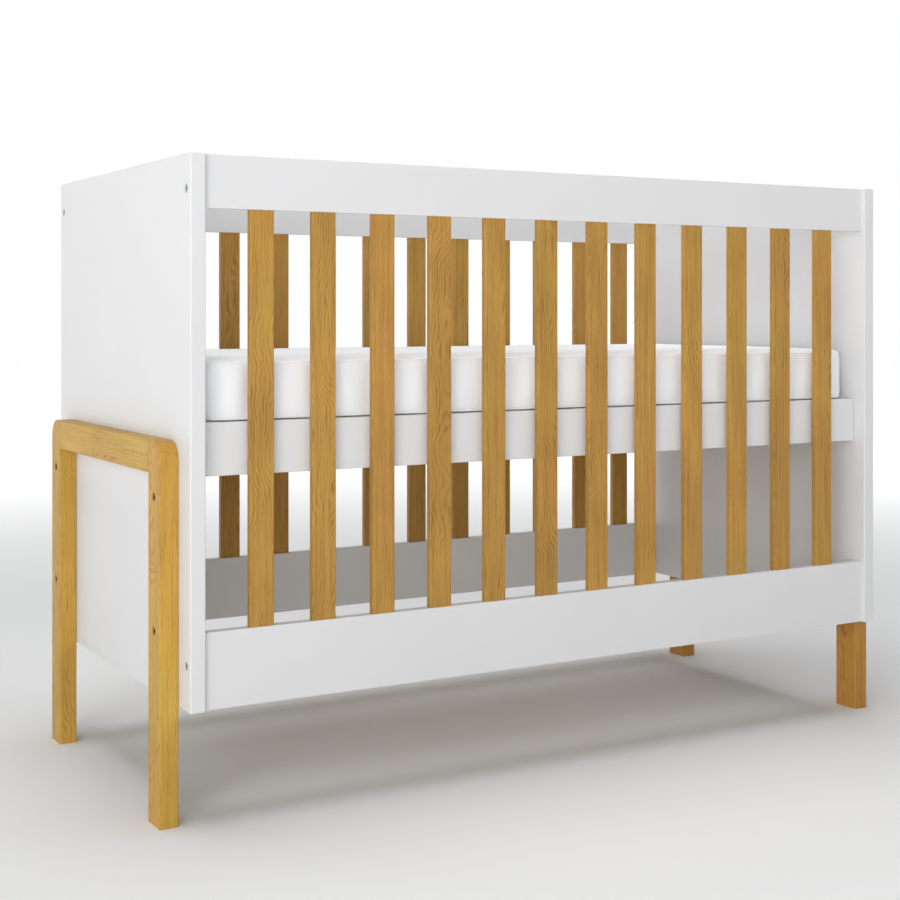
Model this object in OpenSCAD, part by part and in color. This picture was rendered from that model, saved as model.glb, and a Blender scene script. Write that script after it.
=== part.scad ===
// Baby crib with solid end panels, slatted long sides, U-shaped leg frames outside the ends,
// a mattress base that bolts in at three heights, and its mattress.
// Millimetres. +X runs along the crib, the front is at -Y, the floor is z = 0.

/* [Overall] */
// Length over the two end panels, without the leg frames
crib_l = 1368; // [1200:1:1650]
// Width of the end panels
crib_w = 672; // [600:1:820]
// Height of the top edge above the floor
crib_h = 1000; // [900:1:1200]
// Clear height under the end panels
floor_gap = 178; // [140:1:220]

/* [End panels] */
// Thickness of an end panel
panel_t = 24; // [22:1:30]
// Radius of the eased edges of a panel
panel_edge_r = 2; // [1:0.5:4]

/* [Rails] */
// Thickness of a long rail
rail_t = 18; // [16:1:24]
// Height of a top rail
top_rail_h = 80; // [70:1:110]
// Height of a bottom rail
bottom_rail_h = 115; // [90:1:140]
// How far a rail's outer face lies behind the panel's edge
rail_setback = 9; // [4:1:14]
// How far a top rail's edge lies below the panels' top
rail_drop = 0.5; // [0:0.5:3]
// Radius of the eased long edges of a rail
rail_edge_r = 1.5; // [0.5:0.5:3]

/* [Side slats] */
// Number of slats in each long side
slat_count = 12; // [10:1:12]
// Width of a slat
slat_w = 39; // [30:1:50]
// Thickness of a slat
slat_t = 12; // [10:1:14]
// How far a slat's outer face lies behind the rail's
slat_recess = 1; // [0.5:0.5:2]
// Gap between an end panel and the nearest slat
end_gap = 74; // [50:1:95]
// Length of the stub tenon at each end of a slat
tenon_l = 12; // [8:1:16]
// Thickness of a tenon
tenon_t = 7; // [5:1:8]
// Shoulder beside a tenon, along the slat's width
tenon_shoulder = 4; // [2:0.5:7]
// Radius of the eased long edges of a slat
slat_edge_r = 1.5; // [0.5:0.5:3]

/* [Leg frames] */
// Height of a leg frame above the floor
leg_frame_h = 574; // [500:1:690]
// Thickness of a leg frame, along the crib
leg_t = 30; // [25:1:36]
// Width of a leg
leg_w = 52; // [44:1:62]
// How far a leg stands in from the panel's edge
leg_setback = 48; // [30:1:60]
// Height of a crossbar
crossbar_h = 50; // [42:1:60]
// Radius of a leg frame's outer top corners
corner_r = 30; // [20:1:38]
// Radius of the eased edges of the leg frames
leg_edge_r = 2; // [1:0.5:4]

/* [Fasteners] */
// Diameter of every bolt
bolt_d = 6; // [5:1:7]
// Diameter of a socket head
head_d = 10; // [9:0.5:11]
// Height of a socket head
head_h = 5; // [4:0.5:6]
// Diameter of the recess around a head
counterbore_d = 13.5; // [12:0.5:15]
// Depth of the recess around a head
counterbore_depth = 6.5; // [6:0.5:9]
// Hexagon socket, across flats
socket_af = 5; // [4:0.5:6]
// Depth of a hexagon socket
socket_depth = 3; // [2:0.5:4]
// Outer diameter of a threaded insert
insert_d = 10; // [9:0.5:12]
// Length of a threaded insert
insert_l = 13; // [10:0.5:14]
// Diameter of a barrel nut
barrel_nut_d = 10; // [9:0.5:12]
// Wood left between a barrel nut and the rail's outer face
barrel_nut_cover = 4; // [2:0.5:5]
// Distance from a rail's end to its barrel nut
barrel_nut_inset = 30; // [25:1:40]
// Diameter of every wooden dowel
dowel_d = 8; // [6:1:10]
// Length of a dowel
dowel_l = 30; // [24:1:36]
// Distance between the two dowels of a crossbar's end
crossbar_dowel_spacing = 20; // [16:1:24]
// Distance between the two dowels of a base corner
base_dowel_spacing = 40; // [30:1:50]
// Distance of the upper rail bolts below the top edge
top_bolt_drop = 52; // [40:1:60]
// Distance of the lower rail bolts above the panel's lower edge
bottom_bolt_rise = 67; // [45:1:80]
// Distance of a leg's upper bolt below the leg frame's top
leg_bolt_drop = 84; // [70:1:100]
// Distance between a leg's two bolts
leg_bolt_spacing = 200; // [150:1:230]

/* [Mattress base] */
// Height of the base's top edge above the floor, in its upper place
base_top = 601; // [590:1:640]
// Height of a base rail
base_rail_h = 80; // [60:1:100]
// Thickness of a base rail
base_rail_t = 18; // [15:1:22]
// Number of slats across the base
base_slat_count = 7; // [5:1:7]
// Width of a base slat
base_slat_w = 115; // [90:1:125]
// Thickness of a base slat
base_slat_t = 12; // [10:1:15]
// Width and height of the strips that carry the base slats
ledger_size = 18; // [15:1:25]
// Distance between two of the base's three heights
height_step = 100; // [80:1:110]
// Distance of each base bolt from the base's long side
base_bolt_inset = 98; // [78:1:128]
// Diameter of the flange under a base bolt's head
flange_d = 14; // [12:0.5:16]
// Thickness of that flange
flange_t = 1.5; // [1:0.5:2]
// Diameter of the wood screws that hold the base slats
screw_d = 3.5; // [3:0.5:4]
// Diameter of a wood screw's flat head
screw_head_d = 7; // [6:0.5:8]
// Height of a wood screw's flat head
screw_head_h = 2.5; // [2:0.5:3]
// Wood left under a wood screw's tip
screw_cover = 5; // [3:1:8]

/* [Mattress] */
// Thickness of the mattress
mattress_h = 92; // [60:1:120]
// Radius of the mattress's upright corners
mattress_corner_r = 45; // [30:1:60]

/* [Clearances] */
// Gap between the base and each end panel
base_end_gap = 1; // [0.5:0.5:3]
// Gap between the base and each long rail
base_side_gap = 1; // [0.5:0.5:3]
// Gap between the mattress and each end panel
mattress_end_gap = 10; // [5:1:15]
// Gap between the mattress and each long rail
mattress_side_gap = 9; // [5:1:15]
// Gap under the mattress
mattress_gap = 0.3; // [0.3:0.1:1]
// Gap around a glued tenon
tenon_gap = 0.2; // [0.1:0.1:0.5]
// Radial gap around a bolt's shank in a plain hole
bolt_gap = 0.25; // [0.1:0.05:0.5]
// Radial gap between a bolt's shank and its nut's thread
thread_gap = 0.1; // [0.05:0.05:0.2]
// Depth that a blind hole is drilled past what it holds
drill_spare = 1; // [0.5:0.5:2]

/* [Hidden] */
ROUND = 48;
THROUGH = 1;                     // how far a cut runs past the face that it opens
FRONT = -1;
BACK = 1;
LEFT = -1;
RIGHT = 1;

white = "#F1F1EF";
honey_oak = "#BE9146";
pale_pine = "#E3C793";
zinc = "#B9BCC0";
white_fabric = "#F4F4F6";

// Places that several pieces share
half_l = crib_l / 2;
half_w = crib_w / 2;
panel_h = crib_h - floor_gap;
inner_half_l = half_l - panel_t;
inner_l = 2 * inner_half_l;
rail_y = half_w - rail_setback - rail_t / 2;
rail_inner_y = half_w - rail_setback - rail_t;

// Long sides
top_rail_z = crib_h - rail_drop - top_rail_h;
bottom_rail_top = floor_gap + bottom_rail_h;
slat_pitch = (inner_l - 2 * end_gap - slat_w) / (slat_count - 1);
slat_y = half_w - rail_setback - slat_recess - slat_t / 2;
slat_l = top_rail_z - bottom_rail_top;
tenon_w = slat_w - 2 * tenon_shoulder;
mortise_depth = tenon_l + drill_spare;

// Leg frames
leg_y = half_w - leg_setback - leg_w / 2;
leg_inner_y = half_w - leg_setback - leg_w;
crossbar_l = 2 * leg_inner_y;
leg_x = half_l + leg_t / 2;
leg_bolt_heights = [
    leg_frame_h - leg_bolt_drop,
    leg_frame_h - leg_bolt_drop - leg_bolt_spacing
];
crossbar_z = leg_frame_h - crossbar_h / 2;
crossbar_dowel_heights = [
    crossbar_z - crossbar_dowel_spacing / 2,
    crossbar_z + crossbar_dowel_spacing / 2
];

// Bolts that hold the rails, and dowels between each bolt and the rail's edge
top_bolt_z = crib_h - top_bolt_drop;
bottom_bolt_z = floor_gap + bottom_bolt_rise;
rail_bolt_heights = [bottom_bolt_z, top_bolt_z];
rail_dowel_heights = [
    (floor_gap + bottom_bolt_z) / 2 - dowel_d / 2,
    (top_bolt_z + crib_h - rail_drop) / 2 + dowel_d / 2
];
head_sink = counterbore_depth - head_h;
barrel_nut_l = rail_t - barrel_nut_cover;
rail_bolt_l = panel_t - counterbore_depth + barrel_nut_inset + barrel_nut_d / 2 + drill_spare;
rail_hole_depth = barrel_nut_inset + barrel_nut_d / 2 + 2 * drill_spare;
leg_bolt_l = leg_t - counterbore_depth + insert_l - drill_spare;

// Mattress base
base_half_l = inner_half_l - base_end_gap;
base_half_w = rail_inner_y - base_side_gap;
base_z = base_top - base_rail_h;
base_inner_half_l = base_half_l - base_rail_t;
base_inner_half_w = base_half_w - base_rail_t;
base_slat_gap = (2 * base_inner_half_l - base_slat_count * base_slat_w) / (base_slat_count + 1);
base_slat_z = base_top - base_slat_t;
ledger_z = base_slat_z - ledger_size;
base_bolt_y = base_half_w - base_bolt_inset;
base_bolt_z = base_top - base_rail_h / 2;
base_heights = [for (step = [0:2]) base_bolt_z - step * height_step];
base_dowel_heights = [base_bolt_z - base_dowel_spacing / 2, base_bolt_z + base_dowel_spacing / 2];

// Wood screws that hold the base slats to their strips
screw_l = base_slat_t + ledger_size - screw_cover;
screw_spread = base_slat_w / 4;
screw_cross_w = screw_d / 4;
screw_cross_depth = screw_head_h / 2;

// Mattress
mattress_l = inner_l - 2 * mattress_end_gap;
mattress_w = 2 * (rail_inner_y - mattress_side_gap);

function two_digits(i) = i < 10 ? str("0", i) : str(i);
function slat_name(side, i) = str(side, "_slat_", two_digits(i));
function base_slat_name(i) = str("base_slat_", i);

// ---------- shapes ----------

// Rectangle about the origin with round corners
module rounded_rect(w, h, r) {
    square([w - 2 * r, h], center = true);
    square([w, h - 2 * r], center = true);
    for (x = [-1, 1], y = [-1, 1])
        translate([x * (w / 2 - r), y * (h / 2 - r)]) circle(r = r, $fn = ROUND);
}

// Bars about the origin with their four long edges eased: size is [x, y, z]
module bar_along_x(size, r) {
    rotate([90, 0, 90]) linear_extrude(size[0], center = true) rounded_rect(size[1], size[2], r);
}

module bar_along_y(size, r) {
    rotate([90, 0, 0]) linear_extrude(size[1], center = true) rounded_rect(size[0], size[2], r);
}

module bar_along_z(size, r) {
    linear_extrude(size[2], center = true) rounded_rect(size[0], size[1], r);
}

// Board about the origin with all twelve edges eased
module eased_board(size, r) {
    intersection() {
        bar_along_x(size, r);
        bar_along_y(size, r);
        bar_along_z(size, r);
    }
}

// Rods with their middle at the origin
module rod_x(d, l) {
    rotate([0, 90, 0]) cylinder(d = d, h = l, center = true, $fn = ROUND);
}

module rod_y(d, l) {
    rotate([90, 0, 0]) cylinder(d = d, h = l, center = true, $fn = ROUND);
}

// Rods that run from the origin along +X
module rod_out(d, l) {
    rotate([0, 90, 0]) cylinder(d = d, h = l, $fn = ROUND);
}

// Turns a shape that is made for the right end or the back into its twin
module at_end(end) {
    if (end == RIGHT) children();
    else mirror([1, 0, 0]) children();
}

module at_side(side) {
    if (side == BACK) children();
    else mirror([0, 1, 0]) children();
}

module at_all_corners() {
    for (end = [LEFT, RIGHT], side = [FRONT, BACK])
        at_end(end) at_side(side) children();
}

// ---------- end panels ----------

// Holes of the right end panel's back half
module panel_holes() {
    for (z = rail_bolt_heights) translate([half_l, rail_y, z]) {
        translate([-counterbore_depth, 0, 0]) rod_out(counterbore_d, counterbore_depth + THROUGH);
        translate([-panel_t - THROUGH, 0, 0]) rod_out(bolt_d + 2 * bolt_gap, panel_t + THROUGH);
    }
    for (z = rail_dowel_heights) translate([inner_half_l, rail_y, z])
        rod_x(dowel_d, dowel_l + 2 * drill_spare);
    for (z = leg_bolt_heights) translate([half_l - insert_l - drill_spare, leg_y, z])
        rod_out(insert_d, insert_l + drill_spare + THROUGH);
    for (z = base_heights) translate([inner_half_l - THROUGH, base_bolt_y, z])
        rod_out(insert_d, insert_l + drill_spare + THROUGH);
}

module end_panel(end) {
    color(white) at_end(end) difference() {
        translate([half_l - panel_t / 2, 0, floor_gap + panel_h / 2])
            eased_board([panel_t, crib_w, panel_h], panel_edge_r);
        for (side = [FRONT, BACK]) at_side(side) panel_holes();
    }
}

// ---------- leg frames ----------

// Outline of a back leg seen along the crib: its outer top corner is round
module leg_outline() {
    translate([leg_inner_y, 0]) square([leg_w, leg_frame_h - corner_r]);
    translate([leg_inner_y, 0]) square([leg_w - corner_r, leg_frame_h]);
    translate([leg_inner_y + leg_w - corner_r, leg_frame_h - corner_r])
        circle(r = corner_r, $fn = 2 * ROUND);
}

// Everything that a leg's eased top edges leave, for the leg nearest the origin's corner
module leg_eased_top() {
    corner_y = leg_inner_y + leg_w - corner_r;
    corner_z = leg_frame_h - corner_r;
    translate([-leg_t / 2, leg_inner_y, 0]) cube([leg_t, leg_w, corner_z]);
    translate([0, (leg_inner_y + corner_y) / 2, leg_frame_h / 2])
        bar_along_y([leg_t, corner_y - leg_inner_y, leg_frame_h], leg_edge_r);
    translate([0, corner_y, corner_z]) rotate([0, 90, 0]) rotate_extrude($fn = 2 * ROUND)
        intersection() {
            rounded_rect(2 * corner_r, leg_t, leg_edge_r);
            translate([0, -leg_t / 2]) square([corner_r, leg_t]);
        }
}

module leg(end, side) {
    color(honey_oak) at_end(end) at_side(side) difference() {
        translate([leg_x, 0, 0]) intersection() {
            rotate([90, 0, 90]) linear_extrude(leg_t, center = true) leg_outline();
            translate([0, leg_y, leg_frame_h / 2])
                bar_along_z([leg_t, leg_w, leg_frame_h], leg_edge_r);
            leg_eased_top();
        }
        for (z = leg_bolt_heights) translate([half_l, leg_y, z]) {
            translate([-THROUGH, 0, 0]) rod_out(bolt_d + 2 * bolt_gap, leg_t + 2 * THROUGH);
            translate([leg_t - counterbore_depth, 0, 0])
                rod_out(counterbore_d, counterbore_depth + THROUGH);
        }
        for (z = crossbar_dowel_heights) translate([leg_x, leg_inner_y, z])
            rod_y(dowel_d, dowel_l + 2 * drill_spare);
    }
}

module crossbar(end) {
    color(honey_oak) at_end(end) difference() {
        translate([leg_x, 0, crossbar_z])
            bar_along_y([leg_t, crossbar_l, crossbar_h], leg_edge_r);
        for (y = [-leg_inner_y, leg_inner_y], z = crossbar_dowel_heights)
            translate([leg_x, y, z]) rod_y(dowel_d, dowel_l + 2 * drill_spare);
    }
}

// ---------- long sides ----------

function slat_x(i) = (i - (slat_count + 1) / 2) * slat_pitch;

// Hole for the tenons of one rail, cut upwards from z = 0
module mortises() {
    for (i = [1:slat_count])
        translate([slat_x(i), slat_y, mortise_depth / 2])
            cube([tenon_w + 2 * tenon_gap, tenon_t + 2 * tenon_gap, mortise_depth], center = true);
}

// Holes in both ends of a rail: for its bolts, their barrel nuts and its dowels
module rail_end_holes(bolt_z, dowel_z) {
    for (end = [LEFT, RIGHT]) at_end(end) translate([inner_half_l, rail_y, 0]) {
        translate([-rail_hole_depth, 0, bolt_z])
            rod_out(bolt_d + 2 * bolt_gap, rail_hole_depth + THROUGH);
        translate([-barrel_nut_inset, -rail_t / 2 - THROUGH, bolt_z]) rotate([-90, 0, 0])
            cylinder(d = barrel_nut_d, h = barrel_nut_l + drill_spare + THROUGH, $fn = ROUND);
        translate([0, 0, dowel_z]) rod_x(dowel_d, dowel_l + 2 * drill_spare);
    }
}

module top_rail(side) {
    color(white) at_side(side) difference() {
        translate([0, rail_y, top_rail_z + top_rail_h / 2])
            bar_along_x([inner_l, rail_t, top_rail_h], rail_edge_r);
        translate([0, 0, top_rail_z]) mortises();
        rail_end_holes(rail_bolt_heights[1], rail_dowel_heights[1]);
    }
}

module bottom_rail(side) {
    color(white) at_side(side) difference() {
        translate([0, rail_y, floor_gap + bottom_rail_h / 2])
            bar_along_x([inner_l, rail_t, bottom_rail_h], rail_edge_r);
        translate([0, 0, bottom_rail_top - mortise_depth]) mortises();
        rail_end_holes(rail_bolt_heights[0], rail_dowel_heights[0]);
    }
}

module slat(side, i) {
    color(honey_oak) at_side(side) translate([slat_x(i), slat_y, bottom_rail_top + slat_l / 2]) {
        bar_along_z([slat_w, slat_t, slat_l], slat_edge_r);
        cube([tenon_w, tenon_t, slat_l + 2 * tenon_l], center = true);
    }
}

// ---------- fasteners of the frame ----------

// Bolt along +X with its head's top at the origin and its tip at head_h + l inside the wood
module socket_bolt(l, flange) {
    difference() {
        union() {
            translate([-head_h, 0, 0]) rod_out(head_d, head_h);
            translate([-head_h - l, 0, 0]) rod_out(bolt_d, l + THROUGH);
            if (flange > 0) translate([-head_h, 0, 0]) rod_out(flange, flange_t);
        }
        translate([-socket_depth, 0, 0]) rotate([0, 90, 0])
            cylinder(d = socket_af / cos(30), h = socket_depth + THROUGH, $fn = 6);
    }
}

module rail_bolts() {
    color(zinc) at_all_corners() for (z = rail_bolt_heights)
        translate([half_l - head_sink, rail_y, z]) socket_bolt(rail_bolt_l, 0);
}

module barrel_nuts() {
    color(zinc) at_all_corners() for (z = rail_bolt_heights)
        translate([inner_half_l - barrel_nut_inset, rail_inner_y, z]) difference() {
            rotate([-90, 0, 0]) cylinder(d = barrel_nut_d, h = barrel_nut_l, $fn = ROUND);
            translate([0, rail_t / 2, 0]) rod_x(bolt_d + 2 * thread_gap, 2 * barrel_nut_d);
        }
}

module rail_dowels() {
    color(pale_pine) at_all_corners() for (z = rail_dowel_heights)
        translate([inner_half_l, rail_y, z]) rod_x(dowel_d, dowel_l);
}

module leg_bolts() {
    color(zinc) at_all_corners() for (z = leg_bolt_heights)
        translate([half_l + leg_t - head_sink, leg_y, z]) socket_bolt(leg_bolt_l, 0);
}

// Threaded insert along +X with its mouth at the origin and its body at -X
module threaded_insert() {
    translate([-insert_l, 0, 0]) difference() {
        rod_out(insert_d, insert_l);
        translate([-THROUGH, 0, 0]) rod_out(bolt_d + 2 * thread_gap, insert_l + 2 * THROUGH);
    }
}

module threaded_inserts() {
    color(zinc) at_all_corners() {
        for (z = leg_bolt_heights) translate([half_l, leg_y, z]) threaded_insert();
        for (z = base_heights) translate([inner_half_l, base_bolt_y, z])
            mirror([1, 0, 0]) threaded_insert();
    }
}

module leg_frame_dowels() {
    color(pale_pine) at_all_corners() for (z = crossbar_dowel_heights)
        translate([leg_x, leg_inner_y, z]) rod_y(dowel_d, dowel_l);
}

// ---------- mattress base ----------

module base_side_rail(side) {
    color(white) at_side(side) difference() {
        translate([0, base_half_w - base_rail_t / 2, base_z + base_rail_h / 2])
            bar_along_x([2 * base_half_l, base_rail_t, base_rail_h], rail_edge_r);
        for (end = [LEFT, RIGHT], z = base_dowel_heights) at_end(end)
            translate([base_half_l - base_rail_t / 2, base_inner_half_w - THROUGH, z])
                rotate([-90, 0, 0])
                    cylinder(d = dowel_d, h = base_rail_t / 2 + drill_spare + THROUGH, $fn = ROUND);
    }
}

module base_end_rail(end) {
    end_l = 2 * base_inner_half_w;
    color(white) at_end(end) difference() {
        translate([base_half_l - base_rail_t / 2, 0, base_z + base_rail_h / 2])
            bar_along_y([base_rail_t, end_l, base_rail_h], rail_edge_r);
        for (side = [FRONT, BACK]) at_side(side) {
            translate([base_half_l - base_rail_t / 2, base_bolt_y, base_bolt_z])
                rod_x(bolt_d + 2 * bolt_gap, base_rail_t + 2 * THROUGH);
            for (z = base_dowel_heights)
                translate([base_half_l - base_rail_t / 2, base_inner_half_w, z])
                    rod_y(dowel_d, 2 * (dowel_l - base_rail_t / 2 + drill_spare));
        }
    }
}

module base_ledger(side) {
    color(pale_pine) at_side(side) difference() {
        translate([0, base_inner_half_w - ledger_size / 2, ledger_z + ledger_size / 2])
            cube([2 * base_inner_half_l, ledger_size, ledger_size], center = true);
        base_screw_places() screw_pilot();
    }
}

function base_slat_x(i) =
    -base_inner_half_l + i * base_slat_gap + (i - 1) * base_slat_w + base_slat_w / 2;

module base_slat(i) {
    color(pale_pine) difference() {
        translate([base_slat_x(i), 0, base_slat_z + base_slat_t / 2])
            bar_along_y([base_slat_w, 2 * base_inner_half_w, base_slat_t], rail_edge_r);
        for (side = [FRONT, BACK]) at_side(side) base_screw_places() screw_pilot();
    }
}

// Puts its child at the top face of the base slats over the back strip, once for each screw
module base_screw_places() {
    for (i = [1:base_slat_count], x = [-screw_spread, screw_spread])
        translate([base_slat_x(i) + x, base_inner_half_w - ledger_size / 2, base_top]) children();
}

// Half the outline of a wood screw whose flat head's top is at the origin, made wider by gap
function screw_outline(gap) = [
    [0, -screw_l],
    [screw_d / 2 + gap, -screw_l + screw_d],
    [screw_d / 2 + gap, -screw_head_h],
    [screw_head_d / 2 + gap, 0]
];

// Hole for a wood screw: its head's recess runs out of the wood
module screw_pilot() {
    rotate_extrude($fn = ROUND) polygon(concat(
        screw_outline(thread_gap),
        [[screw_head_d / 2 + thread_gap, THROUGH], [0, THROUGH]]
    ));
}

module base_slat_screws() {
    color(zinc) for (side = [FRONT, BACK]) at_side(side) base_screw_places() difference() {
        rotate_extrude($fn = ROUND) polygon(concat(screw_outline(0), [[0, 0]]));
        for (turn = [0, 90]) rotate([0, 0, turn])
            cube([screw_d, screw_cross_w, 2 * screw_cross_depth], center = true);
    }
}

module base_dowels() {
    color(pale_pine) at_all_corners() for (z = base_dowel_heights)
        translate([base_half_l - base_rail_t / 2, base_inner_half_w + base_rail_t / 2, z])
            rotate([90, 0, 0]) cylinder(d = dowel_d, h = dowel_l, $fn = ROUND);
}

// Bolts that hold the base to the end panels, drawn up to the base's end face
module base_bolts() {
    color(zinc) at_all_corners()
        translate([base_inner_half_l - head_h, base_bolt_y, base_bolt_z])
            mirror([1, 0, 0]) socket_bolt(base_rail_t, flange_d);
}

// ---------- mattress ----------

module mattress() {
    color(white_fabric) translate([0, 0, base_top + mattress_gap]) linear_extrude(mattress_h)
        rounded_rect(mattress_l, mattress_w, mattress_corner_r);
}

// ---------- the crib ----------

end_panel(LEFT);  // end_panel_left
end_panel(RIGHT);  // end_panel_right
leg(LEFT, FRONT);  // leg_front_left
leg(LEFT, BACK);  // leg_back_left
leg(RIGHT, FRONT);  // leg_front_right
leg(RIGHT, BACK);  // leg_back_right
crossbar(LEFT);  // crossbar_left
crossbar(RIGHT);  // crossbar_right
top_rail(FRONT);  // front_top_rail
bottom_rail(FRONT);  // front_bottom_rail
top_rail(BACK);  // back_top_rail
bottom_rail(BACK);  // back_bottom_rail
for (i = [1:slat_count]) {
    slat(FRONT, i);
    slat(BACK, i);
}
rail_bolts();
barrel_nuts();
rail_dowels();
leg_bolts();
threaded_inserts();
leg_frame_dowels();
base_side_rail(FRONT);  // base_side_rail_front
base_side_rail(BACK);  // base_side_rail_back
base_end_rail(LEFT);  // base_end_rail_left
base_end_rail(RIGHT);  // base_end_rail_right
base_ledger(FRONT);  // base_ledger_front
base_ledger(BACK);  // base_ledger_back
for (i = [1:base_slat_count])
    base_slat(i);
base_dowels();
base_slat_screws();
base_bolts();
mattress();
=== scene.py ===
"""Looks of a baby crib with lacquered end panels, oak slats and leg frames, and a mattress.

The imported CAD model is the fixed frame. Every CAD piece keeps its mesh and gets a finish, and
the mattress, which is soft, is built here. All lengths are metres unless a name says _mm.
"""

import logging
import math
from dataclasses import dataclass, field
from enum import Enum

import bpy
import numpy as np
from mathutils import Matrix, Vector


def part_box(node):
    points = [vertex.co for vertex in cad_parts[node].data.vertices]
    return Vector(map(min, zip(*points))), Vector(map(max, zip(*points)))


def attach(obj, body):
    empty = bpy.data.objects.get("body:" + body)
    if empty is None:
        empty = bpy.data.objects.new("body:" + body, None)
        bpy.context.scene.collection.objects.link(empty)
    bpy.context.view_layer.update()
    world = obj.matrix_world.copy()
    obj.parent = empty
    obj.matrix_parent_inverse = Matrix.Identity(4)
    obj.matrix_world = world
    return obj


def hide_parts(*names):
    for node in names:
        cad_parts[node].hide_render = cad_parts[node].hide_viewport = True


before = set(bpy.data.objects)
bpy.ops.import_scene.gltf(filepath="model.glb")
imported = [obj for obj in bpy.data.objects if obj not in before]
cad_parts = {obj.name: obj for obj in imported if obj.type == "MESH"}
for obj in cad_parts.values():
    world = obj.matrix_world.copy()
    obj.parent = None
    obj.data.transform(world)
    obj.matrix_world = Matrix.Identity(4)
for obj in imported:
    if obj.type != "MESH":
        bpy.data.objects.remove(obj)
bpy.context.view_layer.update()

MM = 0.001

log = logging.getLogger("crib")

Colour = tuple[float, float, float, float]


# ---------- small helpers ----------


def linear(hex_colour: str) -> Colour:
    """Turns an sRGB hex value into a linear colour.

    Args:
        hex_colour: value such as "#C5974F".

    Returns:
        Red, green, blue and an alpha of 1.
    """
    channels = [int(hex_colour[i : i + 2], 16) / 255 for i in (1, 3, 5)]
    straight = [c / 12.92 if c <= 0.04045 else ((c + 0.055) / 1.055) ** 2.4 for c in channels]
    return (*straight, 1.0)


def add_node(
    tree: bpy.types.NodeTree,
    kind: str,
    inputs: dict[str | int, object] | None = None,
    **settings: object,
) -> bpy.types.Node:
    """Adds one node with its settings and links.

    Args:
        tree: node tree that gets the node.
        kind: the node's type without the word ShaderNode.
        inputs: for each input, by name or number, its value or the output that feeds it.
        settings: the node's own properties.

    Returns:
        The new node.
    """
    node = tree.nodes.new("ShaderNode" + kind)
    for name, value in settings.items():
        setattr(node, name, value)
    for key, value in (inputs or {}).items():
        if isinstance(value, bpy.types.NodeSocket):
            tree.links.new(value, node.inputs[key])
        else:
            node.inputs[key].default_value = value
    return node


def smooth_step(
    tree: bpy.types.NodeTree,
    along: bpy.types.NodeSocket,
    span: tuple[float, float],
    ends: tuple[float, float] = (0.0, 1.0),
) -> bpy.types.NodeSocket:
    """Adds a smooth step from one value to another.

    Args:
        tree: node tree that gets the node.
        along: the value that the step follows.
        span: where the step starts and stops.
        ends: what it gives before its start and after its stop.

    Returns:
        The step's value.
    """
    return add_node(
        tree,
        "MapRange",
        {
            "Value": along,
            "From Min": span[0],
            "From Max": span[1],
            "To Min": ends[0],
            "To Max": ends[1],
        },
        interpolation_type="SMOOTHSTEP",
    ).outputs[0]


def new_mesh(
    name: str,
    points: np.ndarray,
    faces: np.ndarray,
    smooth: bool = True,
) -> bpy.types.Object:
    """Puts points and faces into a new object at the origin.

    Args:
        name: name of the object.
        points: array of shape (n, 3).
        faces: array of shape (m, 4) or (m, 3) of point numbers, counter-clockwise from outside.
        smooth: whether the faces are shaded smooth.

    Returns:
        The new object, linked to the scene.
    """
    mesh = bpy.data.meshes.new(name)
    mesh.from_pydata(points.tolist(), [], faces.tolist())
    mesh.polygons.foreach_set("use_smooth", np.full(len(faces), smooth))
    mesh.update()
    piece = bpy.data.objects.new(name, mesh)
    bpy.context.scene.collection.objects.link(piece)
    return piece


def points_of(piece: bpy.types.Object) -> np.ndarray:
    """Reads an object's points as an array of shape (n, 3)."""
    flat = np.empty(len(piece.data.vertices) * 3)
    piece.data.vertices.foreach_get("co", flat)
    return flat.reshape(-1, 3)


def set_points(piece: bpy.types.Object, points: np.ndarray) -> None:
    """Writes an object's points from an array of shape (n, 3)."""
    piece.data.vertices.foreach_set("co", points.ravel())
    piece.data.update()


def bake_modifiers(piece: bpy.types.Object) -> None:
    """Replaces an object's mesh by what its modifiers make of it, and removes them."""
    graph = bpy.context.evaluated_depsgraph_get()
    result = bpy.data.meshes.new_from_object(piece.evaluated_get(graph))
    piece.modifiers.clear()
    piece.data = result


# ---------- finishes ----------


RING_RISE = (0.0, 0.15)
RING_FALL = (0.18, 0.7)


class Drift(Enum):
    """Smooth noises in wood: features per metre across and along the grain, and half the range.

    WANDER and RIPPLE move a ring, in metres. FAINT thins its line, PATCH changes the tone, and
    REDDER turns the hue.
    """

    WANDER = ((9.0, 9.0, 5.5), 0.026)
    RIPPLE = ((50.0, 50.0, 26.0), 0.0032)
    FAINT = ((110.0, 110.0, 7.0), 1.0)
    PATCH = ((14.0, 14.0, 9.0), 0.2)
    REDDER = ((11.0, 11.0, 6.0), 0.012)


WHOLE = 4.0  # size of a cell, in metres, that holds the whole crib along one direction


class Grain(Enum):
    """Direction that a board's grain runs in, as the turn that brings it to Z."""

    ALONG_X = (0.0, -math.pi / 2, 0.0)
    ALONG_Y = (math.pi / 2, 0.0, 0.0)
    ALONG_Z = (0.0, 0.0, 0.0)


@dataclass(frozen=True)
class Boards:
    """How one wood finish tells the boards apart that it is used on.

    Space is cut into equal cells, one board in each. A cell's middle is its board's middle, and
    seeds what differs from board to board.
    """

    cell: tuple[float, float, float]
    start: tuple[float, float, float] = (0.0, 0.0, 0.0)
    grain: Grain = Grain.ALONG_Z
    pith: tuple[float, float] = (0.05, 0.045)


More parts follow.
